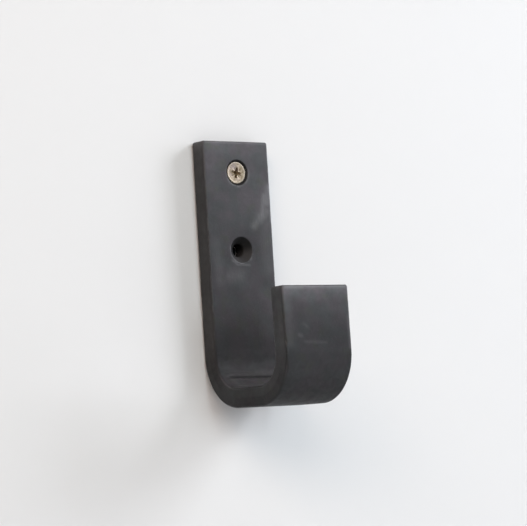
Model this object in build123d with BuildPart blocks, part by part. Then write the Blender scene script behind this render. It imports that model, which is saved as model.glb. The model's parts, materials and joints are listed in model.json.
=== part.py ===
"""J-shaped wall hook bent from thick flat bar, with the countersunk wood screw that holds it.

Millimetres. The wall is the plane Y = 0 and the hook stands out from it towards -Y. +Z is up and
+X is to the right of someone who faces the wall. The origin is on the wall face, half-way between
the two screw holes.
"""

from build123d import *
from math import tan, radians
import os

# Flat bar that the hook is bent from
bar_width = 33.0
bar_thickness = 8.0
edge_radius = 1.0  # rounding of every outside edge

# Hook
hook_height = 110.0
lip_height = 46.0  # from the underside of the hook to the top of the lip
throat_gap = 40.0  # between the back plate and the lip
bend_outer_radius = 21.0  # outside of both bends

# Screw holes in the back plate
hole_spacing = 32.0
hole_edge_distance = 13.0  # from the top edge to the upper hole
bore_diameter = 5.5
mouth_diameter = 11.0
countersink_angle = 90.0

# Countersunk wood screw, 4.5 x 50, with a cross recess
screw_length = 50.0
head_diameter = 9.0
head_land = 0.35  # height of the cylindrical rim above the cone
head_sink = 0.6  # the top of the head lies this far below the face of the plate
shank_diameter = 3.3
shank_length = 18.0  # from the top of the head to the first turn of the thread
core_diameter = 2.9
thread_diameter = 4.5
thread_pitch = 2.2
thread_root_width = 0.8
thread_crest_width = 0.12
thread_embed = 0.15  # depth of the thread's root inside the core
point_length = 5.0
point_tip_diameter = 0.4

# Cross recess of the screw
recess_span = 4.6
recess_wing = 1.1
recess_depth = 2.5
recess_floor_span = 2.2
recess_floor_wing = 0.7
tick_length = 0.8  # the four marks between the wings
tick_width = 0.22
tick_depth = 0.15
tick_distance = 1.75  # from the axis to the middle of a mark
recess_turn = -13.0  # where the driver left the cross, clockwise from upright

# Worked out from the sizes above
top_z = hole_spacing / 2 + hole_edge_distance
bottom_z = top_z - hook_height
lip_top_z = bottom_z + lip_height
plate_middle_y = -bar_thickness / 2
lip_middle_y = -(bar_thickness + throat_gap + bar_thickness / 2)
floor_middle_z = bottom_z + bar_thickness / 2
bend_middle_radius = bend_outer_radius - bar_thickness / 2
plate_front = Plane(origin=(0, -bar_thickness, 0), x_dir=(1, 0, 0), z_dir=(0, -1, 0))

screw_z = hole_spacing / 2
head_top_y = -bar_thickness + head_sink
screw_axis = Axis((0, head_top_y, screw_z), (0, 1, 0))
head_plane = Plane(
    origin=(0, head_top_y, screw_z), x_dir=(1, 0, 0), z_dir=(0, -1, 0)
).rotated((0, 0, recess_turn))
cone_height = (head_diameter - shank_diameter) / 2 / tan(radians(countersink_angle / 2))
thread_start = shank_length
thread_end = screw_length - point_length

os.makedirs("parts", exist_ok=True)


# The bar: one length of flat bar, bent twice into a J and drilled for two countersunk screws
with BuildPart() as hook_bar:
    with BuildSketch(Plane.YZ):
        with BuildLine():
            FilletPolyline(
                (plate_middle_y, top_z),
                (plate_middle_y, floor_middle_z),
                (lip_middle_y, floor_middle_z),
                (lip_middle_y, lip_top_z),
                radius=bend_middle_radius,
            )
        trace(line_width=bar_thickness)
    extrude(amount=bar_width / 2, both=True)

    side_edges = hook_bar.faces().filter_by(Axis.X).edges()
    bar_ends = hook_bar.faces().filter_by(Axis.Z).sort_by(Axis.Z)[-2:]
    end_edges = bar_ends.edges().filter_by(Axis.X)
    fillet(side_edges + end_edges, radius=edge_radius)

    with Locations(plate_front):
        with GridLocations(0, hole_spacing, 1, 2):
            CounterSinkHole(
                radius=bore_diameter / 2,
                counter_sink_radius=mouth_diameter / 2,
                depth=bar_thickness,
                counter_sink_angle=countersink_angle,
            )
hook_bar.part.label = "hook_bar"
export_step(hook_bar.part, "parts/hook_bar.step")


# The screw: head, plain shank, core and point are turned about its axis, then the thread is added
with BuildPart() as upper_screw:
    with BuildSketch(Plane(origin=(0, head_top_y, screw_z), x_dir=(1, 0, 0), z_dir=(0, 0, 1))):
        with BuildLine():
            Polyline(
                (0, 0),
                (head_diameter / 2, 0),
                (head_diameter / 2, head_land),
                (shank_diameter / 2, head_land + cone_height),
                (shank_diameter / 2, thread_start),
                (core_diameter / 2, thread_start + (shank_diameter - core_diameter) / 2),
                (core_diameter / 2, thread_end),
                (point_tip_diameter / 2, screw_length),
                (0, screw_length),
                close=True,
            )
        make_face()
    revolve(axis=screw_axis)

    # cross recess, narrower at its floor
    with BuildSketch(head_plane):
        Rectangle(recess_span, recess_wing)
        Rectangle(recess_wing, recess_span)
    with BuildSketch(head_plane.offset(-recess_depth)):
        Rectangle(recess_floor_span, recess_floor_wing)
        Rectangle(recess_floor_wing, recess_floor_span)
    loft(mode=Mode.SUBTRACT)

    # four shallow marks between the wings
    with BuildSketch(head_plane):
        with PolarLocations(tick_distance, 4, start_angle=45):
            Rectangle(tick_length, tick_width)
    extrude(amount=-tick_depth, mode=Mode.SUBTRACT)

    # thread
    with BuildLine():
        turns = Helix(
            pitch=thread_pitch,
            height=thread_end - thread_start - thread_pitch,
            radius=core_diameter / 2 - thread_embed,
            center=(0, head_top_y + thread_start + thread_pitch / 2, screw_z),
            direction=(0, 1, 0),
        )
    start = turns @ 0
    outwards = start - Vector(0, start.Y, screw_z)
    with BuildSketch(Plane(origin=start, x_dir=outwards, z_dir=turns % 0)):
        with BuildLine():
            Polyline(
                (0, -thread_root_width / 2),
                (thread_diameter / 2 - core_diameter / 2 + thread_embed, -thread_crest_width / 2),
                (thread_diameter / 2 - core_diameter / 2 + thread_embed, thread_crest_width / 2),
                (0, thread_root_width / 2),
                close=True,
            )
        make_face()
    sweep(path=turns, is_frenet=True)
upper_screw.part.label = "upper_screw"
export_step(upper_screw.part, "parts/upper_screw.step")
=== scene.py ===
"""Looks of the J-shaped wall hook and its screw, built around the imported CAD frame.

Metres, in the frame of the CAD model: the wall is Y = 0, the hook stands out towards -Y, +Z is up.
The hook is made as a flat bar first, with its rounded edges, drilled holes and marks, and is then
bent along the J. MM turns the workshop's millimetres into metres.
"""

import json
from math import atan2, cos, pi, radians, sin, sqrt, tan

import bmesh
import bpy
import numpy as np
from mathutils import Matrix, Vector, noise


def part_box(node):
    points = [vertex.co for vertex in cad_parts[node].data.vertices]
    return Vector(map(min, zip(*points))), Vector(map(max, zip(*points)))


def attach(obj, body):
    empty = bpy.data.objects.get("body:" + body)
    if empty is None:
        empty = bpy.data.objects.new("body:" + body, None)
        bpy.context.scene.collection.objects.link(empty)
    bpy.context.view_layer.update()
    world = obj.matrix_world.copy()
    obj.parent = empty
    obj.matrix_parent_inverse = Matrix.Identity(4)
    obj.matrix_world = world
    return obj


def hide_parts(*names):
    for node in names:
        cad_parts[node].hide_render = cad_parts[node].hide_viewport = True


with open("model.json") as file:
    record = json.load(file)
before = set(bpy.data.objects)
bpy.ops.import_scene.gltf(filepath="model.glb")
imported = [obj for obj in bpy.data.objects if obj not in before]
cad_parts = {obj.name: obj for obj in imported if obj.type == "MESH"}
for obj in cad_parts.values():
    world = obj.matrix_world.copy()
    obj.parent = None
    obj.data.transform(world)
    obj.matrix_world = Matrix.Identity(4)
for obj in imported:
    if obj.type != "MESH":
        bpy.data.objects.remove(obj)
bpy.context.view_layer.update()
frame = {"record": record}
MM = 0.001

# ---------------------------------------------------------------- sizes of the hook
hook_low, hook_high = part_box("hook_bar")
screw_low, screw_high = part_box("upper_screw")
lower_hole = next(m for m in frame["record"]["mounts"] if m["name"] == "lower_screw_hole")

THICKNESS = 8 * MM
REAR_RADIUS = 21 * MM  # outside of the bend at the wall
FRONT_RADIUS = 20 * MM  # outside of the bend at the lip
LIP_HEIGHT = 46 * MM
LIP_LEAN = radians(1.0)  # the lip leans this much towards the wall
MOUTH_RADIUS = 5.5 * MM  # countersink at the face of the plate
BORE_RADIUS = lower_hole["dims"]["r_mm"] * MM

WIDTH = hook_high.x - hook_low.x
DEPTH = hook_high.y - hook_low.y
HEIGHT = hook_high.z - hook_low.z
TOP = hook_high.z
BOTTOM = hook_low.z
UPPER_HOLE_Z = (screw_low.z + screw_high.z) / 2
LOWER_HOLE_Z = lower_hole["pos_m"][2]

# Lengths along the middle of the bar, from the top of the plate to the top of the lip
REAR_MIDDLE = REAR_RADIUS - THICKNESS / 2
FRONT_MIDDLE = FRONT_RADIUS - THICKNESS / 2
LIP_RUN = LIP_HEIGHT - FRONT_RADIUS
REAR_BEND = HEIGHT - REAR_RADIUS
REAR_RUN = REAR_MIDDLE * pi / 2
FLOOR = REAR_BEND + REAR_RUN
FRONT_BEND = FLOOR + DEPTH - REAR_RADIUS - FRONT_RADIUS
FRONT_TURN = pi / 2 + LIP_LEAN
FRONT_RUN = FRONT_MIDDLE * FRONT_TURN
LIP = FRONT_BEND + FRONT_RUN
BAR_LENGTH = LIP + LIP_RUN

# The screw, measured from the top of its head
HEAD_RADIUS = (screw_high.x - screw_low.x) / 2
SCREW_LENGTH = screw_high.y - screw_low.y
HEAD_TOP = screw_low.y
LAND = 0.35 * MM
SHANK_RADIUS = 1.65 * MM
SHANK_END = 18 * MM
CORE_RADIUS = 1.45 * MM
CREST_RADIUS = 2.25 * MM
PITCH = 2.2 * MM
POINT = 5 * MM
DISH = 0.06 * MM  # the middle of the head lies this far below its rim
DISH_RADIUS = 3.78 * MM
BEAD = 0.22 * MM  # rounding of the head's rim
RECESS_TURN = radians(-13)
RECESS_DEPTH = 2.5 * MM
WING_REACH = 2.3 * MM  # from the axis to the end of a wing of the cross
WING_HALF = 0.6 * MM  # half the width of a wing
RECESS_MIDDLE = 1.0 * MM  # radius of the round middle of the cross
TICK_DEPTH = 0.16 * MM  # the four shallow marks between the wings

# ---------------------------------------------------------------- mesh of the flat bar
EDGE_RADIUS = 0.85 * MM
WIDTH_SHRINK = 0.09 * MM  # each side, room for the bulge at the bends
COLUMNS = 48  # across each wide face
SIDE_COLUMNS = 9
CORNER_STEPS = 5
ROW_STEP = (UPPER_HOLE_Z - LOWER_HOLE_Z) / 52
FINE_STEP = 0.2 * MM  # where the bends are creased
CREASED = (7 * MM, 21 * MM)  # how far into a bend those rows lie
END_RINGS = 4  # nested outlines that close each end of the bar
PATCH = 12  # a hole's round patch reaches this many columns and rows from its centre
PATCH_RINGS = 6


def smooth(low, high, value):
    """0 below low, 1 above high, and a smooth rise between."""
    t = np.clip((value - low) / (high - low), 0, 1)
    return t * t * (3 - 2 * t)


def row_places():
    """Distances along the bar of the cross-sections, as (distance, inset from the full section)."""
    places = []
    for k in range(END_RINGS):
        places.append((0.0, THICKNESS / 2 - k / END_RINGS * (THICKNESS / 2 - EDGE_RADIUS)))
    for k in range(CORNER_STEPS + 1):
        turn = k / (CORNER_STEPS + 1) * pi / 2
        places.append((EDGE_RADIUS * (1 - cos(turn)), EDGE_RADIUS * (1 - sin(turn))))
    body = []
    upper_hole = TOP - UPPER_HOLE_Z
    at = upper_hole - int((upper_hole - EDGE_RADIUS) / ROW_STEP) * ROW_STEP
    while at < BAR_LENGTH - EDGE_RADIUS - ROW_STEP / 2:
        body.append(at)
        from_rear = at - REAR_BEND
        from_front = LIP - at
        creased = any(CREASED[0] < d < CREASED[1] for d in (from_rear, from_front))
        at += FINE_STEP if creased else ROW_STEP
    places += [(s, 0.0) for s in body]
    far_end = [(BAR_LENGTH - s, inset) for s, inset in places[: END_RINGS + CORNER_STEPS + 1]]
    return places + far_end[::-1]


def section(inset):
    """The outline of a cross-section as (x, n) points. n is 0 at mid-thickness and grows towards
    the inside of the J. The outline starts at the left of the inner face."""
    half_width = WIDTH / 2 - WIDTH_SHRINK - inset
    half_thick = THICKNESS / 2 - inset
    corner = max(EDGE_RADIUS - inset, 0)
    flat_x, flat_n = half_width - corner, half_thick - corner
    across = [flat_x * (2 * k / COLUMNS - 1) for k in range(COLUMNS + 1)]
    down = [flat_n * (1 - 2 * k / SIDE_COLUMNS) for k in range(SIDE_COLUMNS + 1)]
    turns = [k / CORNER_STEPS * pi / 2 for k in range(1, CORNER_STEPS)]
    half = [(x, half_thick) for x in across]
    half += [(flat_x + corner * sin(a), flat_n + corner * cos(a)) for a in turns]
    half += [(half_width, n) for n in down]
    half += [(flat_x + corner * cos(a), -flat_n - corner * sin(a)) for a in turns]
    return half + [(-x, -n) for x, n in half]


def ring_profile():
    """The wall of a countersunk hole from the inner face to the wall face, as (radius, n)."""
    rim, neck, back = 0.7 * MM, 0.2 * MM, 0.25 * MM
    top, foot = THICKNESS / 2, -THICKNESS / 2
    profile = []
    start = MOUTH_RADIUS + rim * tan(pi / 8)
    for k in range(6):
        turn = k / 5 * pi / 4
        profile.append((start - rim * sin(turn), top - rim * (1 - cos(turn))))
    depth_of_cone = MOUTH_RADIUS - BORE_RADIUS
    cone_top, cone_foot = profile[-1], (BORE_RADIUS + neck * 0.3, top - depth_of_cone + neck * 0.3)
    for k in range(1, 9):
        profile.append(tuple(a + (b - a) * k / 8 for a, b in zip(cone_top, cone_foot)))
    bore_top, bore_foot = top - depth_of_cone - neck * 0.4, foot + back
    for k in range(9):
        profile.append((BORE_RADIUS, bore_top + (bore_foot - bore_top) * k / 8))
    for k in range(1, 4):
        turn = k / 3 * pi / 2
        profile.append((BORE_RADIUS + back * (1 - cos(turn)), foot + back * (1 - sin(turn))))
    return profile


class BarMesh:
    """Vertices in flat bar coordinates (x, distance along, n) and the faces between them."""

    def __init__(self):
        self.places = row_places()
        self.points = []
        self.faces = []
        for s, inset in self.places:
            self.points += [(x, s, n) for x, n in section(inset)]
        self.width = len(section(0))

    def at(self, row, column):
        return row * self.width + column % self.width

    def skin(self, holes):
        """All quads between the rows, apart from the squares that the holes' patches fill."""
        inner_middle = COLUMNS // 2
        outer_middle = self.width // 2 + COLUMNS // 2
        for row in range(len(self.places) - 1):
            near_hole = any(-PATCH <= row - hole < PATCH for hole in holes)
            for column in range(self.width):
                in_patch = any(
                    -PATCH <= column - middle < PATCH for middle in (inner_middle, outer_middle)
                )
                if near_hole and in_patch:
                    continue
                corners = (
                    self.at(row, column),
                    self.at(row, column + 1),
                    self.at(row + 1, column + 1),
                    self.at(row + 1, column),
                )
                self.faces.append(corners)

    def patch_outline(self, row, side):
        """The square round a hole, clockwise from its left corner, on the inner or the wall face."""
        steps = [(k, -PATCH) for k in range(-PATCH, PATCH)]
        steps += [(PATCH, k) for k in range(-PATCH, PATCH)]
        steps += [(-k, PATCH) for k in range(-PATCH, PATCH)]
        steps += [(-PATCH, -k) for k in range(-PATCH, PATCH)]
        middle = COLUMNS // 2 if side > 0 else self.width // 2 + COLUMNS // 2
        return [self.at(row + down, middle + side * across) for across, down in steps]

    def hole(self, row):
        """A countersunk hole: flat rings from the square to the rim, then the hole's own wall."""
        centre = self.places[row][0]
        front, back = self.patch_outline(row, 1), self.patch_outline(row, -1)
        profile = ring_profile()
        angles = [np.arctan2(self.points[i][1] - centre, self.points[i][0]) for i in front]
        rings = [front]

        def add_ring(place):
            start = len(self.points)
            self.points += [place(i, angle) for i, angle in enumerate(angles)]
            rings.append(list(range(start, len(self.points))))

        def between(outline, radius, n, share):
            def place(i, angle):
                x, s, _ = self.points[outline[i]]
                round_x, round_s = radius * cos(angle), centre + radius * sin(angle)
                return (x + (round_x - x) * share, s + (round_s - s) * share, n)

            return place

        for k in range(1, PATCH_RINGS):
            add_ring(between(front, profile[0][0], THICKNESS / 2, k / PATCH_RINGS))
        for radius, n in profile:
            add_ring(between(front, radius, n, 1))
        for k in range(1, PATCH_RINGS):
            add_ring(between(back, profile[-1][0], -THICKNESS / 2, 1 - k / PATCH_RINGS))
        rings.append(back)
        count = len(front)
        for upper, lower in zip(rings, rings[1:]):
            for i in range(count):
                j = (i + 1) % count
                self.faces.append((upper[i], upper[j], lower[j], lower[i]))


def bend(x, s, n):
    """Flat bar coordinates to the J, as arrays of x, y and z."""
    y, z = np.empty_like(s), np.empty_like(s)
    plate, rear = s < REAR_BEND, (s >= REAR_BEND) & (s < FLOOR)
    floor, front = (s >= FLOOR) & (s < FRONT_BEND), (s >= FRONT_BEND) & (s < LIP)
    lip = s >= LIP
    rear_y, rear_z = hook_high.y - REAR_RADIUS, BOTTOM + REAR_RADIUS
    front_y, front_z = hook_low.y + FRONT_RADIUS, BOTTOM + FRONT_RADIUS
    y[plate] = hook_high.y - THICKNESS / 2 - n[plate]
    z[plate] = TOP - s[plate]
    turn, radius = (s[rear] - REAR_BEND) / REAR_MIDDLE, REAR_MIDDLE - n[rear]
    y[rear] = rear_y + radius * np.cos(turn)
    z[rear] = rear_z - radius * np.sin(turn)
    y[floor] = rear_y - (s[floor] - FLOOR)
    z[floor] = BOTTOM + THICKNESS / 2 + n[floor]
    turn, radius = (s[front] - FRONT_BEND) / FRONT_MIDDLE, FRONT_MIDDLE - n[front]
    y[front] = front_y - radius * np.sin(turn)
    z[front] = front_z - radius * np.cos(turn)
    past, radius = s[lip] - LIP, FRONT_MIDDLE - n[lip]
    y[lip] = front_y - radius * cos(LIP_LEAN) + past * sin(LIP_LEAN)
    z[lip] = front_z + radius * sin(LIP_LEAN) + past * cos(LIP_LEAN)
    return np.stack([x, y, z], axis=1)


# ---------------------------------------------------------------- marks of the forge, on the flat bar
def wander(points, scale, seed):
    """Smooth noise from -1 to 1 at each point, with features about scale metres wide."""
    shift = Vector((seed * 7.31, seed * 3.17, seed * 5.77))
    return np.array([noise.noise(Vector(p) / scale + shift) for p in points])


def bump_at(value, centre, width):
    return np.exp(-(((value - centre) / width) ** 2))


def forge(points):
    """The flat bar's points after forging: uneven faces, worn edges, nicks, and what a hot bend does
    to the section. Also returns, from 0 to 1, how far each point is round an edge, in a crease and on
    a ridge beside one."""
    x, s, n = points.T
    flat_x, flat_n = WIDTH / 2 - WIDTH_SHRINK - EDGE_RADIUS, THICKNESS / 2 - EDGE_RADIUS
    core_x = np.clip(x, -flat_x, flat_x)
    core_n = np.clip(n, -flat_n, flat_n)
    core_s = np.clip(s, EDGE_RADIUS, BAR_LENGTH - EDGE_RADIUS)
    out = np.stack([x - core_x, s - core_s, n - core_n], axis=1)
    reach = np.linalg.norm(out, axis=1)
    on_skin = reach > 0.9 * EDGE_RADIUS
    out = out / np.maximum(reach, 1e-9)[:, None]
    edge = 1 - np.abs(out).max(axis=1)
    edge = np.where(on_skin, edge / (1 - sqrt(0.5)), 0)

    # broad and fine unevenness of the faces, then rounded and chipped edges
    push = 0.05 * MM * wander(points, 17 * MM, 1)
    push += 0.022 * MM * wander(points, 5 * MM, 2)
    push -= edge * 0.08 * MM * (0.5 + wander(points, 9 * MM, 3))
    push -= edge * 0.07 * MM * np.abs(wander(points, 2.2 * MM, 4))

    # each nick: side of the bar, face (1 inner, -1 outer), distance along, length, depth
    nicks = (
        (-1, -1, LIP + 4.2 * MM, 0.9 * MM, 0.65 * MM),
        (-1, -1, LIP - 5.0 * MM, 1.2 * MM, 0.40 * MM),
        (-1, -1, LIP + 15.0 * MM, 1.6 * MM, 0.15 * MM),
        (-1, 1, TOP + 10.8 * MM, 1.0 * MM, 0.35 * MM),
        (-1, 1, 12.0 * MM, 1.5 * MM, 0.15 * MM),
        (1, 1, 28.5 * MM, 1.2 * MM, 0.25 * MM),
        (1, -1, LIP + 9.0 * MM, 1.4 * MM, 0.15 * MM),
    )
    for side, face, place, length, depth in nicks:
        here = (np.sign(x) == side) & (np.sign(n) == face)
        push -= depth * here * edge * bump_at(s, place, length)

    # the inside of a hot bend wrinkles across the bar: (turn in degrees, width, height)
    wrinkles = ((33, 3.0, 0.10), (40, 1.8, -0.40), (45, 1.6, 0.06), (70, 4.0, 0.10))
    inner = smooth(0.5, 0.95, out[:, 2] * on_skin)
    span = smooth(-14.0 * MM, -11 * MM, x) * (1 - smooth(9 * MM, 13 * MM, x))
    crease, ridge = np.zeros(len(s)), np.zeros(len(s))
    for turn in ((s - REAR_BEND) / REAR_MIDDLE, (LIP - s) / FRONT_MIDDLE):
        degrees = np.degrees(turn) + 0.7 * wander(points, 11 * MM, 5) - 0.08 * x / MM
        for place, width, height in wrinkles:
            push += height * MM * inner * span * bump_at(degrees, place, width)
        # a mask for painted shade in the crease
        crease += inner * span * bump_at(degrees, 39.5, 2.7)
        # masks for painted highlights on the ridges beside the crease
        ridge += inner * span * bump_at(degrees, 31, 5) * smooth(-16 * MM, 14 * MM, x)
        ridge += inner * span * bump_at(degrees, 68, 6) * (1 - smooth(0, 6 * MM, x))

    moved = points + out * (push * on_skin)[:, None]

    # a hot bend squeezes the inside of the bar wider and draws the outside narrower
    for middle, run in (((REAR_BEND + FLOOR) / 2, REAR_RUN), ((FRONT_BEND + LIP) / 2, FRONT_RUN)):
        share = 1 - smooth(0.25, 0.85, np.abs(s - middle) / run)
        growth = (0.12 * MM * n / (THICKNESS / 2) - 0.07 * MM) * share
        moved[:, 0] += growth * x / (WIDTH / 2)
    return moved, edge, crease, ridge


def new_object(name, vertices, faces):
    mesh = bpy.data.meshes.new(name)
    mesh.from_pydata([tuple(v) for v in vertices], [], faces)
    mesh.validate()
    piece = bpy.data.objects.new(name, mesh)
    bpy.context.scene.collection.objects.link(piece)
    return piece


def tidy_mesh(piece, distance=0.004 * MM):
    """Joins the points that coincide, drops loose ones and points all faces outwards."""
    work = bmesh.new()
    work.from_mesh(piece.data)
    bmesh.ops.remove_doubles(work, verts=work.verts, dist=distance)
    bmesh.ops.delete(work, geom=[v for v in work.verts if not v.link_faces], context="VERTS")
    bmesh.ops.recalc_face_normals(work, faces=work.faces)
    work.to_mesh(piece.data)
    work.free()
    piece.data.polygons.foreach_set("use_smooth", [True] * len(piece.data.polygons))


def vertex_array(piece):
    flat = np.empty(len(piece.data.vertices) * 3)
    piece.data.vertices.foreach_get("co", flat)
    return flat.reshape(-1, 3)


def paint(piece, name, values):
    layer = piece.data.attributes.new(name, "FLOAT", "POINT")
    layer.data.foreach_set("value", np.asarray(values, dtype=np.float32))


def near_line(points, start, end):
    """Distance of each (x, z) point from a straight stroke."""
    start, end = np.array(start), np.array(end)
    along = end - start
    share = np.clip(((points - start) @ along) / (along @ along), 0, 1)
    return np.linalg.norm(points - start - share[:, None] * along, axis=1)


# How pale the black finish is along the bar, as (millimetres along, reflectance), with painted light
# and shade in it. It is palest at the two ends, where painted highlights stand for the top edges
# catching the light. Painted shade makes it darker down the plate and the lip, and painted light makes
# the inside of the rear bend paler. Each value was set one by one.
INNER_TONE = (
    (0, 0.082), (8, 0.067), (24, 0.055), (45, 0.038), (57, 0.043), (68, 0.037), (79, 0.031),
    (90, 0.022), (96, 0.026), (101, 0.046), (106, 0.060), (118, 0.052), (135, 0.022), (160, 0.026),
    (174, 0.042), (181, 0.072),
)
OUTER_TONE = (
    (0, 0.060), (24, 0.045), (60, 0.035), (100, 0.028), (126, 0.018), (139, 0.021), (148, 0.026),
    (154, 0.026), (160, 0.026), (165, 0.032), (170, 0.038), (175, 0.053), (181, 0.100),
)
SIDE_TONE = (
    (0, 0.074), (5, 0.040), (10, 0.031), (24, 0.032), (40, 0.030), (54, 0.034), (66, 0.030),
    (85, 0.032), (100, 0.018), (122, 0.018), (135, 0.025), (160, 0.027), (172, 0.026),
    (178, 0.030), (181, 0.040),
)

# Rubbed places on the plate and scratches on the lip, and painted highlights along the top edges of the
# plate and the lip, down the lip's right edge and on the lower hole's lower rim, as (x, z) start and
# end and the width, in millimetres, and the strength
PLATE_STROKES = (
    ((15.6, 9.5), (14.2, 3.5), 1.8, 1.00),
    ((13.1, 6.5), (11.4, -1.5), 1.3, 1.00),
    ((13.6, -0.2), (10.6, -2.8), 2.6, 0.75),
    ((10.2, -2.4), (7.2, -6.0), 1.8, 0.60),
    ((15.6, -1.5), (15.4, -4.5), 0.5, 0.70),
    ((-5.0, -20.2), (-2.4, -22.1), 0.5, 0.60),
    ((-2.4, -22.1), (3.6, -22.2), 0.5, 0.50),
    ((-6.5, -27.0), (-1.5, -26.3), 2.8, 0.36),
    ((-12.6, -13.5), (-12.0, -29.0), 2.6, 0.22),
    ((-15.0, 28.4), (2.0, 28.5), 0.5, 0.35),
    ((13.8, 2.0), (13.4, -24.0), 4.0, 0.30),
)
LIP_STROKES = (
    ((-9.6, -54.2), (-8.6, -54.6), 0.8, 0.20),
    ((-6.9, -57.0), (3.5, -57.5), 0.6, 0.14),
    ((-7.0, -50.0), (-5.4, -51.2), 0.7, 0.14),
    ((15.3, -47.0), (15.3, -60.0), 0.5, 0.30),
    ((-14.6, -43.0), (-14.6, -57.0), 2.4, 0.15),
    ((-15.6, -35.5), (-6.5, -35.6), 0.7, 0.80),
    ((-4.2, -35.6), (-0.5, -35.6), 0.5, 0.55),
    ((1.5, -35.6), (4.0, -35.6), 0.5, 0.40),
    ((6.0, -35.6), (15.0, -35.5), 0.5, 0.60),
)


def side_share(n):
    """1 on the narrow sides of the bar and 0 on its wide faces."""
    return 1 - smooth(0.80, 0.99, np.abs(n) / (THICKNESS / 2))


def tone_and_shade_along(s, n):
    """Reflectance along the bar, on its wide faces and on its sides: the finish's tone with painted
    light and shade in it.
    """
    inner = np.interp(s / MM, *zip(*INNER_TONE))
    outer = np.interp(s / MM, *zip(*OUTER_TONE))
    facing = smooth(-1, 1, n / (THICKNESS / 2))
    tone = outer + (inner - outer) * facing
    return tone + (np.interp(s / MM, *zip(*SIDE_TONE)) - tone) * side_share(n)


def strokes(face, marks):
    """How strongly each (x, z) point is marked, by wear or by a painted highlight, from 0 to 1."""
    marked = np.zeros(len(face))
    for start, end, width, strength in marks:
        away = near_line(face, np.array(start) * MM, np.array(end) * MM)
        marked = np.maximum(marked, strength * np.exp(-((away / (width * MM)) ** 2)))
    return marked


def paint_hook(piece, flat, bent, edge, crease, ridge):
    """Masks for the material: tone with painted light and shade, worn edges, creases, rubbed places
    with painted highlights, and the painted shade that darkens the holes.
    """
    s, n = flat[:, 1], flat[:, 2]
    to_hole = np.minimum(*[np.hypot(flat[:, 0], s - (TOP - z)) for z in (UPPER_HOLE_Z, LOWER_HOLE_Z)])
    in_hole = smooth(-0.15 * MM, 0.25 * MM, MOUTH_RADIUS - to_hole) * (n < THICKNESS / 2 - 0.1 * MM)
    in_hole *= smooth(-THICKNESS / 2, -THICKNESS / 2 + 0.3 * MM, n)
    across = flat[:, 0]

    # Painted light in a countersink: paler towards its foot, which faces up into the light, and much
    # less so in the upper hole, which the screw's head shades. That one lies in the part of the plate
    # above Z = 0, where s < TOP.
    below = np.where(s < TOP, UPPER_HOLE_Z, LOWER_HOLE_Z) - (TOP - s)
    # the rim is worn pale, and on its lower side it also carries a painted highlight
    rim = bump_at(to_hole, MOUTH_RADIUS + 0.25 * MM, 0.50 * MM) * (n > 0)
    rim *= smooth(-1.5 * MM, 3 * MM, below - 0.35 * across * np.sign(s - TOP))
    lit = smooth(-0.8 * MM, 3.4 * MM, 0.30 * across + 0.95 * below)
    lit = np.where(s < TOP, 0.25 * lit, lit)

    # painted light and shade: darker along the left of the bends, paler on the right of the lower plate
    # and on the inner left edge of the rear bend
    face = np.stack([bent[:, 0], bent[:, 2]], axis=1)
    in_bend = smooth(70 * MM, 92 * MM, s) * (1 - smooth(LIP - 14 * MM, LIP + 2 * MM, s))
    flank = 0.3 * in_bend * (n > 0) * (1 - smooth(-15 * MM, -10 * MM, across))
    right = smooth(-10 * MM, 12 * MM, across) * (n > 0)
    right *= smooth(57 * MM, 67 * MM, s) * (1 - smooth(80 * MM, 92 * MM, s))
    rear_bend = smooth(90 * MM, 98 * MM, s) * (1 - smooth(108 * MM, 116 * MM, s))
    left_inside = rear_bend * (across < 0) * smooth(0, 3.5 * MM, n)
    shade = (1 + 0.35 * right - flank) * (1 - side_share(n)) + side_share(n)
    shade += left_inside * (0.3 * side_share(n) + 0.6 * edge)
    # the tone carries painted light and shade, from the tables and from shade
    paint(piece, "tone", tone_and_shade_along(s, n) * shade)
    paint(piece, "side", side_share(n) * (1 - smooth(88 * MM, 108 * MM, s)))
    paint(piece, "edge", edge * (1 - 0.9 * in_bend))
    paint(piece, "crease", crease)
    paint(piece, "ridge", ridge)
    paint(piece, "rim", rim)
    paint(piece, "in_hole", in_hole)
    paint(piece, "countersink_shade", 1 - lit)
    paint(piece, "burnt", (n > 0) * smooth(84 * MM, 90 * MM, s) * (1 - smooth(103 * MM, 107 * MM, s)))
    paint(piece, "under", (n < 0) * smooth(108 * MM, 122 * MM, s) * (1 - smooth(146 * MM, 153 * MM, s)))
    paint(piece, "scuff_and_highlight", strokes(face, PLATE_STROKES) * ((n > 0) & (s < REAR_BEND)))
    paint(piece, "scratch_and_highlight", strokes(face, LIP_STROKES) * ((n < 0) & (s > LIP)))


def make_hook():
    bar = BarMesh()
    rows = [s for s, _ in bar.places]
    holes = [int(np.argmin(np.abs(np.array(rows) - (TOP - z)))) for z in (UPPER_HOLE_Z, LOWER_HOLE_Z)]
    bar.skin(holes)
    for row in holes:
        bar.hole(row)
    piece = new_object("forged_hook", bar.points, bar.faces)
    tidy_mesh(piece)
    flat = vertex_array(piece)
    shaped, edge, crease, ridge = forge(flat)
    bent = bend(shaped[:, 0], shaped[:, 1], shaped[:, 2])
    bent = np.clip(bent, hook_low, hook_high)
    piece.data.vertices.foreach_set("co", bent.ravel())
    piece.data.update()
    paint_hook(piece, flat, bent, edge, crease, ridge)
    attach(piece, "hook")
    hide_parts("hook_bar")
    return piece


# ---------------------------------------------------------------- the screw
def recess_grid():
    """Lines of the square grid on the head, closer together over the walls of the recess."""
    half = (0.1, 0.2, 0.3, 0.4, 0.6, 0.75, 0.9, 1.1, 1.4, 1.7, 2.0, 2.3, 2.6)
    return [-k * MM for k in reversed(half)] + [0.0] + [k * MM for k in half]


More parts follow.
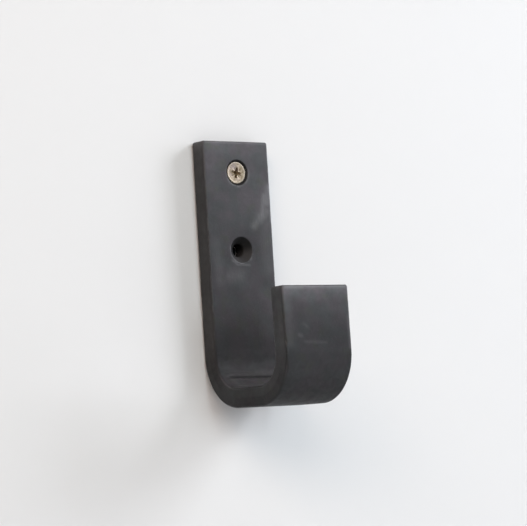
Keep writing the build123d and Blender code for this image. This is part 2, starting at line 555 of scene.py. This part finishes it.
def recess_depth(u, v):
    """Depth of the cross recess at a point of the head, with u and v along its wings."""
    deepest = 0.0
    for along, across in ((abs(u), abs(v)), (abs(v), abs(u))):
        wall = (WING_HALF - across) / (0.2 * MM)
        ramp = (WING_REACH - along) / (1.2 * MM)
        deepest = max(deepest, min(1.0, wall, ramp))
    middle = (RECESS_MIDDLE - sqrt(u * u + v * v)) / (0.25 * MM)
    return RECESS_DEPTH * max(deepest, min(1.0, middle))


def tick_depth(u, v):
    """The four shallow marks between the wings lie on the grid's diagonals."""
    on_mark = abs(abs(u) - abs(v)) < 0.01 * MM and 1.0 * MM < abs(u) < 1.8 * MM
    return TICK_DEPTH if on_mark else 0.0


def thread_radius(depth, phase):
    """Radius of the shank and thread, with phase going from 0 to 1 along each turn."""
    to_tip = min(max((SCREW_LENGTH - depth) / POINT, 0.0), 1.0)
    past_shank = float(smooth(SHANK_END, SHANK_END + PITCH / 2, depth))
    core = (SHANK_RADIUS + (CORE_RADIUS - SHANK_RADIUS) * past_shank) * to_tip
    crest = CREST_RADIUS * to_tip**0.7
    ridge = max(0.0, 1 - abs(phase - 0.5) / 0.2)
    rise = float(smooth(SHANK_END, SHANK_END + PITCH, depth))
    return core + (crest - core) * min(1.0, ridge * 1.15) * rise


def make_screw():
    """Head, shank and thread as one closed skin. Each point is (x, z, depth) about the axis."""
    lines = recess_grid()
    size = len(lines)
    points, faces = [], []
    for i, v in enumerate(lines):
        for j, u in enumerate(lines):
            points.append((u, v, DISH + recess_depth(u, v) + tick_depth(u, v)))
    for i in range(size - 1):
        for j in range(size - 1):
            a, b = i * size + j, i * size + j + 1
            c, d = (i + 1) * size + j + 1, (i + 1) * size + j
            if i == j:
                faces += [(a, b, c), (a, c, d)]
            elif i + j == size - 2:
                faces += [(a, b, d), (b, c, d)]
            else:
                faces.append((a, b, c, d))

    # the outline of the grid, clockwise for someone facing the head
    last = size - 1
    outline = [k * size for k in range(last)]
    outline += [last * size + k for k in range(last)]
    outline += [(last - k) * size + last for k in range(last)]
    outline += [last - k for k in range(last)]
    columns = len(outline)
    square = np.unwrap([atan2(points[i][1], points[i][0]) for i in outline])
    evenly = square[0] - np.arange(columns) * 2 * pi / columns

    def ring(radius, depth, even, share=1.0):
        start = len(points)
        for k, i in enumerate(outline):
            angle = square[k] + (evenly[k] - square[k]) * even
            u, v = radius * cos(angle), radius * sin(angle)
            u, v = points[i][0] + (u - points[i][0]) * share, points[i][1] + (v - points[i][1]) * share
            points.append((u, v, depth))
        return list(range(start, len(points)))

    rings = [outline]
    rings.append(ring(DISH_RADIUS, DISH, 0.0, 0.5))
    rings.append(ring(DISH_RADIUS, DISH, 0.1))
    rings.append(ring(3.95 * MM, DISH * 0.4, 0.2))
    rings.append(ring(4.10 * MM, 0.0, 0.3))
    for k in range(1, 6):
        turn = k / 5 * pi / 2
        rings.append(ring(HEAD_RADIUS - BEAD + BEAD * sin(turn), BEAD * (1 - cos(turn)), 0.4))
    rings.append(ring(HEAD_RADIUS, LAND, 0.5))
    cone_end = LAND + HEAD_RADIUS - SHANK_RADIUS
    for k in range(1, 6):
        share = k / 5
        radius = HEAD_RADIUS + (SHANK_RADIUS - HEAD_RADIUS) * share
        rings.append(ring(radius, LAND + (cone_end - LAND) * share, 0.5 + share / 2))
    for k in range(1, 9):
        rings.append(ring(SHANK_RADIUS, cone_end + (SHANK_END - cone_end) * k / 8, 1.0))
    for upper, lower in zip(rings, rings[1:]):
        for k in range(columns):
            j = (k + 1) % columns
            faces.append((upper[k], upper[j], lower[j], lower[k]))

    # the thread: rows wind round the axis, so that the last column of one turn meets the next turn
    phases = (0.0, 0.16, 0.30, 0.36, 0.44, 0.50, 0.56, 0.64, 0.70, 0.84)
    rows_per_turn = len(phases)
    turns = int((SCREW_LENGTH - SHANK_END) / PITCH) + 4
    start = len(points)
    for row in range(turns * rows_per_turn):
        phase = phases[row % rows_per_turn]
        for k in range(columns):
            depth = SHANK_END + PITCH * (row // rows_per_turn - 1 + phase + k / columns)
            depth = min(max(depth, SHANK_END), SCREW_LENGTH)
            radius = thread_radius(depth, phase)
            points.append((radius * cos(evenly[k]), radius * sin(evenly[k]), depth))
    for row in range((turns - 1) * rows_per_turn):
        for k in range(columns):
            here = start + row * columns + k
            beside = here + 1 if k < columns - 1 else start + (row + rows_per_turn) * columns
            faces.append((here, beside, beside + columns, here + columns))

    turned = []
    for u, v, depth in points:
        x = u * cos(RECESS_TURN) - v * sin(RECESS_TURN)
        z = u * sin(RECESS_TURN) + v * cos(RECESS_TURN)
        turned.append((x, HEAD_TOP + depth, UPPER_HOLE_Z + z))
    piece = new_object("wood_screw", turned, faces)
    tidy_mesh(piece)
    piece.data.set_sharp_from_angle(angle=radians(38))
    made = vertex_array(piece)
    radius = np.hypot(made[:, 0], made[:, 2] - UPPER_HOLE_Z)
    depth = made[:, 1] - HEAD_TOP
    on_head = radius < 2.7 * MM
    paint(piece, "recess", smooth(0.12 * MM, 0.9 * MM, depth) * on_head * (depth < 3 * MM))
    paint(piece, "ring", bump_at(radius, 4.2 * MM, 0.3 * MM) * (depth < 0.3 * MM))
    paint(piece, "mark_shade", smooth(0.08 * MM, 0.2 * MM, depth) * on_head * (depth < 0.3 * MM))
    # a pinkish patch at the upper left of the head
    to_pinkish_patch = np.hypot(made[:, 0] + 1.1 * MM, made[:, 2] - UPPER_HOLE_Z - 2.6 * MM)
    paint(piece, "pinkish_patch", bump_at(to_pinkish_patch, 0, 1.5 * MM) * (depth < 0.3 * MM))
    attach(piece, "screw")
    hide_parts("upper_screw")
    return piece


# ---------------------------------------------------------------- materials
class Nodes:
    """A material's node tree, with short calls for what the materials here need."""

    def __init__(self, name):
        self.material = bpy.data.materials.new(name)
        self.material.use_nodes = True
        self.tree = self.material.node_tree
        self.shader = self.tree.nodes["Principled BSDF"]
        self.output = self.tree.nodes["Material Output"]

    def add(self, kind, **inputs):
        made = self.tree.nodes.new(kind)
        for key, value in inputs.items():
            self.put(made, key.replace("_", " "), value)
        return made

    def put(self, made, key, value):
        socket = made.inputs[int(key) if key.isdigit() else key]
        if isinstance(value, bpy.types.NodeSocket):
            self.tree.links.new(value, socket)
        else:
            socket.default_value = value

    def maths(self, operation, a, b=0.0):
        made = self.tree.nodes.new("ShaderNodeMath")
        made.operation = operation
        self.put(made, "0", a)
        self.put(made, "1", b)
        return made.outputs[0]

    def ramp(self, value, low, high, to_low=0.0, to_high=1.0):
        made = self.tree.nodes.new("ShaderNodeMapRange")
        made.interpolation_type = "SMOOTHSTEP"
        for key, number in (("1", low), ("2", high), ("3", to_low), ("4", to_high)):
            self.put(made, key, number)
        self.put(made, "0", value)
        return made.outputs[0]

    def mix(self, share, a, b):
        made = self.tree.nodes.new("ShaderNodeMix")
        made.data_type = "RGBA"
        self.put(made, "0", share)
        for socket, value in ((made.inputs[6], a), (made.inputs[7], b)):
            if isinstance(value, bpy.types.NodeSocket):
                self.tree.links.new(value, socket)
            else:
                socket.default_value = (*value, 1)
        return made.outputs[2]

    def times(self, colour, factor):
        made = self.tree.nodes.new("ShaderNodeVectorMath")
        made.operation = "SCALE"
        self.put(made, "0", colour)
        self.put(made, "Scale", factor)
        return made.outputs[0]

    def place(self, stretch=(1, 1, 1), turn=(0, 0, 0)):
        """Object coordinates in millimetres, turned and stretched."""
        where = self.add("ShaderNodeTexCoord").outputs["Object"]
        mapping = self.add("ShaderNodeMapping", Vector=where)
        mapping.inputs["Scale"].default_value = [1000 / k for k in stretch]
        mapping.inputs["Rotation"].default_value = turn
        return mapping.outputs["Vector"]

    def noise(self, size, detail=3.0, rough=0.5, where=None, distortion=0.0):
        """Noise from 0 to 1 with features about size millimetres wide."""
        made = self.add("ShaderNodeTexNoise", Scale=1 / size, Detail=detail, Roughness=rough)
        made.inputs["Distortion"].default_value = distortion
        self.put(made, "Vector", where or self.place())
        return made.outputs["Fac"]

    def layer(self, share, under, over):
        """A mix of two shaders, with share as how much of the upper one shows."""
        made = self.tree.nodes.new("ShaderNodeMixShader")
        self.put(made, "0", share)
        self.put(made, "1", under)
        self.put(made, "2", over)
        return made.outputs[0]

    def painted(self, name):
        made = self.tree.nodes.new("ShaderNodeAttribute")
        made.attribute_name = name
        return made.outputs["Fac"]

    def bump(self, height, distance, strength=1.0, normal=None):
        made = self.add("ShaderNodeBump", Height=height, Distance=distance, Strength=strength)
        if normal is not None:
            self.put(made, "Normal", normal)
        return made.outputs["Normal"]


def blackened_iron():
    m = Nodes("blackened_iron")
    cloud = m.noise(14, 4, 0.55)
    mottle = m.noise(3.2, 5, 0.6, distortion=0.6)
    grain = m.noise(0.45, 3, 0.6)
    tint = m.noise(8, 2)

    # the painted tone, with its painted light and shade, times a patchy hue: cool grey, violet and a
    # little green
    hue = m.mix(m.ramp(tint, 0.38, 0.60), (0.95, 1.00, 1.06), (1.05, 0.97, 1.08))
    greenish = m.noise(6, 2, where=m.place(turn=(1, 0.4, 2)))
    hue = m.mix(m.ramp(greenish, 0.55, 0.7, 0, 0.8), hue, (0.97, 1.01, 0.95))
    hue = m.mix(m.painted("side"), hue, (1.05, 0.985, 1.00))
    broad, small = m.ramp(cloud, 0.3, 0.7, 0.84, 1.16), m.ramp(mottle, 0.3, 0.75, 1.08, 0.86)
    patchy = m.maths("MULTIPLY", broad, small)
    colour = m.times(hue, m.maths("MULTIPLY", m.painted("tone"), patchy))

    # pale metal shows through on rubbed edges, round the holes and where something scraped the bar; the
    # same pale colour paints highlights along the top edges, down the lip's right edge and on the lower
    # hole's rim
    streak = m.noise(0.5, 3, 0.6, where=m.place(stretch=(1, 1, 9), turn=(0, radians(-24), 0)))
    scuff_and_highlight = m.maths("MULTIPLY", m.painted("scuff_and_highlight"), m.ramp(streak, 0.35, 0.7, 0.65, 1.0))
    worn = m.maths("MULTIPLY", m.painted("edge"), m.ramp(mottle, 0.42, 0.62, 0.02, 0.35))
    rim = m.maths("MULTIPLY", m.painted("rim"), m.ramp(mottle, 0.4, 0.6, 0.1, 0.5))
    bare_and_highlight = m.maths("MAXIMUM", m.maths("MAXIMUM", scuff_and_highlight, worn), rim)
    bare_and_highlight = m.maths("MAXIMUM", bare_and_highlight, m.painted("scratch_and_highlight"))
    colour = m.mix(m.maths("MULTIPLY", bare_and_highlight, 0.80), colour, (0.165, 0.166, 0.173))
    # painted highlights on the ridges beside a bend's crease
    colour = m.mix(m.maths("MULTIPLY", m.painted("ridge"), 0.6), colour, (0.080, 0.081, 0.084))
    # painted shade in the crease
    colour = m.mix(m.maths("MULTIPLY", m.painted("crease"), 0.85), colour, (0.006, 0.006, 0.006))
    # painted shade in the holes: near black where a countersink faces down, paler at its lit foot
    inside = m.mix(m.painted("countersink_shade"), (0.037, 0.035, 0.036), (0.005, 0.005, 0.005))
    colour = m.mix(m.maths("MULTIPLY", m.painted("in_hole"), 0.95), colour, inside)
    m.put(m.shader, "Base Color", colour)

    rough = m.ramp(mottle, 0.3, 0.7, 0.36, 0.46)
    rough = m.maths("ADD", rough, m.ramp(grain, 0.3, 0.7, -0.03, 0.03))
    rough = m.maths("SUBTRACT", rough, m.maths("MULTIPLY", bare_and_highlight, 0.05))
    rough = m.maths("ADD", rough, m.maths("MULTIPLY", m.painted("in_hole"), 0.25))
    rough = m.maths("ADD", rough, m.maths("MULTIPLY", m.painted("burnt"), 0.20))
    rough = m.maths("ADD", rough, m.maths("MULTIPLY", m.painted("under"), 0.20))
    m.put(m.shader, "Roughness", rough)
    m.shader.inputs["Metallic"].default_value = 0.0
    m.shader.inputs["IOR"].default_value = 1.5
    m.shader.inputs["Specular IOR Level"].default_value = 0.22

    pits = m.ramp(m.noise(1.1, 4, 0.65), 0.55, 0.75)
    surface = m.bump(cloud, 0.25 * MM, 0.30)
    surface = m.bump(pits, 0.04 * MM, 0.5, surface)
    surface = m.bump(grain, 0.02 * MM, 0.5, surface)
    m.put(m.shader, "Normal", surface)
    return m.material


def passivated_steel():
    m = Nodes("passivated_steel")
    cloud = m.noise(1.5, 4, 0.6, distortion=0.5)
    patch = m.noise(2.6, 3, where=m.place(turn=(0.5, 1.0, 0)))
    grain = m.noise(0.25, 3, 0.6)
    colour = m.mix(m.ramp(cloud, 0.38, 0.62), (0.25, 0.20, 0.13), (0.40, 0.33, 0.25))
    colour = m.mix(m.ramp(patch, 0.48, 0.66, 0, 0.7), colour, (0.36, 0.29, 0.26))
    colour = m.mix(m.ramp(grain, 0.55, 0.75, 0, 0.4), colour, (0.24, 0.18, 0.11))
    colour = m.mix(m.maths("MULTIPLY", m.painted("ring"), 0.6), colour, (0.52, 0.46, 0.38))
    # painted shade in the head's shallow marks and at the recess's upper edge
    colour = m.mix(m.maths("MULTIPLY", m.painted("mark_shade"), 0.6), colour, (0.16, 0.12, 0.07))
    # the pinkish patch at the upper left of the head
    colour = m.mix(m.maths("MULTIPLY", m.painted("pinkish_patch"), 0.8), colour, (0.27, 0.225, 0.215))
    # painted light: the recess is paler than the head, standing for the light on its walls
    lit_recess = m.mix(m.ramp(cloud, 0.4, 0.6), (0.32, 0.23, 0.15), (0.46, 0.38, 0.24))
    colour = m.mix(m.painted("recess"), colour, lit_recess)
    m.put(m.shader, "Base Color", colour)
    m.shader.inputs["Metallic"].default_value = 0.85
    rough = m.ramp(cloud, 0.3, 0.7, 0.40, 0.52)
    m.put(m.shader, "Roughness", m.maths("ADD", rough, m.maths("MULTIPLY", m.painted("recess"), 0.2)))
    surface = m.bump(cloud, 0.06 * MM, 0.4)
    m.put(m.shader, "Normal", m.bump(grain, 0.02 * MM, 0.5, surface))
    return m.material


# ---------------------------------------------------------------- stage, lights, camera
PANEL_CENTRE = Vector((0.030, 0.0004, -0.020))
PANEL_SIZE = (0.36, 0.30)
FLOOR_DROP = 0.26  # below the underside of the hook
FLOOR_RADIUS = 4.0
ROOM_COLOUR = (0.98, 0.99, 1.0, 1)
ROOM_STRENGTH = 0.86  # as the camera sees the room
ROOM_LIGHT = 0.07  # as the hook sees it
LIGHT_TARGET = Vector((0, 0, -0.02))
LIGHT_DISTANCE = 1.6
FLOOR_SIDES = 64


def wall_paint():
    """Matt white wall with two drilled holes behind the hook's, painted as flat near-black discs that
    stand for the shade inside them. A camera behind the wall sees and lights the hook through it; for
    every other ray the wall is solid."""
    m = Nodes("wall_paint")
    path = m.add("ShaderNodeLightPath")
    behind = m.add("ShaderNodeNewGeometry").outputs["Backfacing"]
    came_through = m.maths("GREATER_THAN", path.outputs["Transparent Depth"], 0.5)
    lit_through = m.maths("MULTIPLY", path.outputs["Is Shadow Ray"], came_through)
    where = m.add("ShaderNodeTexCoord").outputs["Object"]
    # painted shade: each drilled hole is a flat near-black disc
    drilled = []
    for z, radius in ((UPPER_HOLE_Z, 2.2 * MM), (LOWER_HOLE_Z, 2.9 * MM)):
        away = m.tree.nodes.new("ShaderNodeVectorMath")
        away.operation = "DISTANCE"
        m.put(away, "0", where)
        m.put(away, "1", (0.0, PANEL_CENTRE.y, z))
        drilled.append(m.maths("LESS_THAN", away.outputs["Value"], radius))
    hole = m.maths("MAXIMUM", *drilled)
    m.put(m.shader, "Base Color", m.mix(hole, (0.73, 0.73, 0.73), (0.004, 0.004, 0.004)))
    m.shader.inputs["Roughness"].default_value = 0.9
    m.shader.inputs["Specular IOR Level"].default_value = 0.1
    clear = m.add("ShaderNodeBsdfTransparent").outputs[0]
    m.put(m.output, "0", m.layer(m.maths("MAXIMUM", lit_through, behind), m.shader.outputs[0], clear))
    return m.material


def floor_paint():
    """Matt pale floor. Away from the lights, the camera sees it fade to the tone of the room. A camera
    below the floor sees through it."""
    m = Nodes("floor_paint")
    m.shader.inputs["Base Color"].default_value = (0.62, 0.62, 0.62, 1)
    m.shader.inputs["Roughness"].default_value = 0.9
    where = m.add("ShaderNodeTexCoord").outputs["Object"]
    away = m.tree.nodes.new("ShaderNodeVectorMath")
    away.operation = "LENGTH"
    m.put(away, "0", where)
    far = m.ramp(away.outputs["Value"], 0.7, 1.6)
    seen = m.add("ShaderNodeLightPath").outputs["Is Camera Ray"]
    room = m.add("ShaderNodeEmission", Color=ROOM_COLOUR, Strength=ROOM_STRENGTH).outputs[0]
    above = m.layer(m.maths("MULTIPLY", far, seen), m.shader.outputs[0], room)
    below = m.add("ShaderNodeNewGeometry").outputs["Backfacing"]
    clear = m.add("ShaderNodeBsdfTransparent").outputs[0]
    m.put(m.output, "0", m.layer(below, above, clear))
    return m.material


def make_stage():
    w, h = PANEL_SIZE[0] / 2, PANEL_SIZE[1] / 2
    corners = [PANEL_CENTRE + Vector((x, 0, z)) for x, z in ((-w, -h), (w, -h), (w, h), (-w, h))]
    wall = new_object("wall_panel", corners, [(0, 1, 2, 3)])
    wall.data.materials.append(wall_paint())
    height = BOTTOM - FLOOR_DROP
    steps = [2 * pi * k / FLOOR_SIDES for k in range(FLOOR_SIDES)]
    ground = [(FLOOR_RADIUS * cos(a), FLOOR_RADIUS * sin(a), height) for a in steps]
    floor = new_object("studio_floor", ground, [tuple(range(FLOOR_SIDES))])
    floor.data.materials.append(floor_paint())


def soft_light(name, azimuth, height, power, colour, size=0.6):
    """A square light, aimed at the hook. Azimuth 0 is straight in front of the wall and 90 is to the
    right, with the height above the horizon, both in degrees."""
    data = bpy.data.lights.new(name, "AREA")
    data.size = size
    data.energy = power
    data.color = colour
    light = bpy.data.objects.new(name, data)
    turn, rise = radians(azimuth), radians(height)
    direction = Vector((sin(turn) * cos(rise), -cos(turn) * cos(rise), sin(rise)))
    light.location = LIGHT_TARGET + direction * LIGHT_DISTANCE
    light.rotation_euler = direction.to_track_quat("Z", "Y").to_euler()
    bpy.context.scene.collection.objects.link(light)


def make_lights():
    soft_light("right_high", 58, 28, 14.5, (0.92, 0.95, 1.0))
    soft_light("right_low", 68, 8, 7.2, (0.91, 0.91, 1.0))
    soft_light("front_low", 0, 8, 8.5, (0.84, 0.95, 1.0))
    soft_light("left_near", -25, 28, 5.0, (1.0, 0.92, 0.86))
    soft_light("left_high", -50, 28, 6.5, (1.0, 0.79, 0.64))
    soft_light("behind_right", 160, 20, 12, (0.97, 0.98, 1.0))
    soft_light("behind_left", -140, 10, 8, (1.0, 0.98, 0.95))

    # a pale room for the camera, which lights the hook only a little
    world = bpy.data.worlds.new("studio")
    world.use_nodes = True
    tree = world.node_tree
    background = tree.nodes["Background"]
    background.inputs["Color"].default_value = ROOM_COLOUR
    seen = tree.nodes.new("ShaderNodeLightPath").outputs["Is Camera Ray"]
    strength = tree.nodes.new("ShaderNodeMapRange")
    strength.inputs[3].default_value = ROOM_LIGHT
    strength.inputs[4].default_value = ROOM_STRENGTH
    tree.links.new(seen, strength.inputs[0])
    tree.links.new(strength.outputs[0], background.inputs["Strength"])
    bpy.context.scene.world = world


def make_camera():
    """A long lens to the left of the hook and a little below it, tilted a few degrees."""
    target = Vector((16.6 * MM, 0, BOTTOM + 60.3 * MM))
    yaw, pitch, roll = radians(36.6), radians(-4.4), radians(-3.5)
    distance = 982 * MM
    back = Vector((-sin(yaw) * cos(pitch), -cos(yaw) * cos(pitch), sin(pitch)))
    right = (-back).cross(Vector((0, 0, 1))).normalized()
    up = right.cross(-back)
    rolled_right = right * cos(roll) + up * sin(roll)
    rolled_up = up * cos(roll) - right * sin(roll)
    data = bpy.data.cameras.new("camera")
    data.sensor_width = 36
    data.lens = 160.7
    data.clip_start, data.clip_end = 0.05, 20
    camera = bpy.data.objects.new("camera", data)
    turn = Matrix((rolled_right, rolled_up, back)).transposed().to_4x4()
    camera.matrix_world = Matrix.Translation(target + back * distance) @ turn
    bpy.context.scene.collection.objects.link(camera)
    bpy.context.scene.camera = camera


hook = make_hook()
hook.data.materials.append(blackened_iron())
screw = make_screw()
screw.data.materials.append(passivated_steel())
make_stage()
make_lights()
make_camera()
bpy.context.scene.view_settings.view_transform = "Standard"
